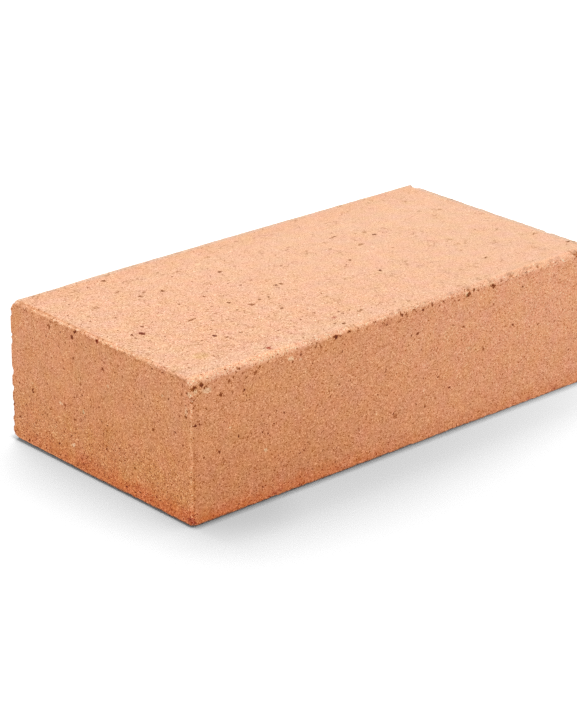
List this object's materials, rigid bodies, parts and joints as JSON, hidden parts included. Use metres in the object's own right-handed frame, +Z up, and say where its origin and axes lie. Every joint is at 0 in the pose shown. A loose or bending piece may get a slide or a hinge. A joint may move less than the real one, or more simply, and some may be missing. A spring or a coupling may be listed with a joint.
{
  "type": "clay brick",
  "caption": "Solid pressed clay brick: a plain fired block with flat beds and faces, lightly worn and chipped arrises, for laying in mortar.",
  "frame": {"origin": "middle of the bed that the brick lies on, at floor level", "axes": "+X along the length, +Y across the width, +Z up from the lower bed to the upper bed"},
  "size_m": [0.22, 0.11, 0.06],
  "materials": {
    "fired_clay": "dry matt fired clay, sandy and finely pitted, pale orange, paler on the upper bed and deeper orange round the foot"
  },
  "bodies": {
    "root": {"brick": "fired_clay"}
  },
  "joints": []
}
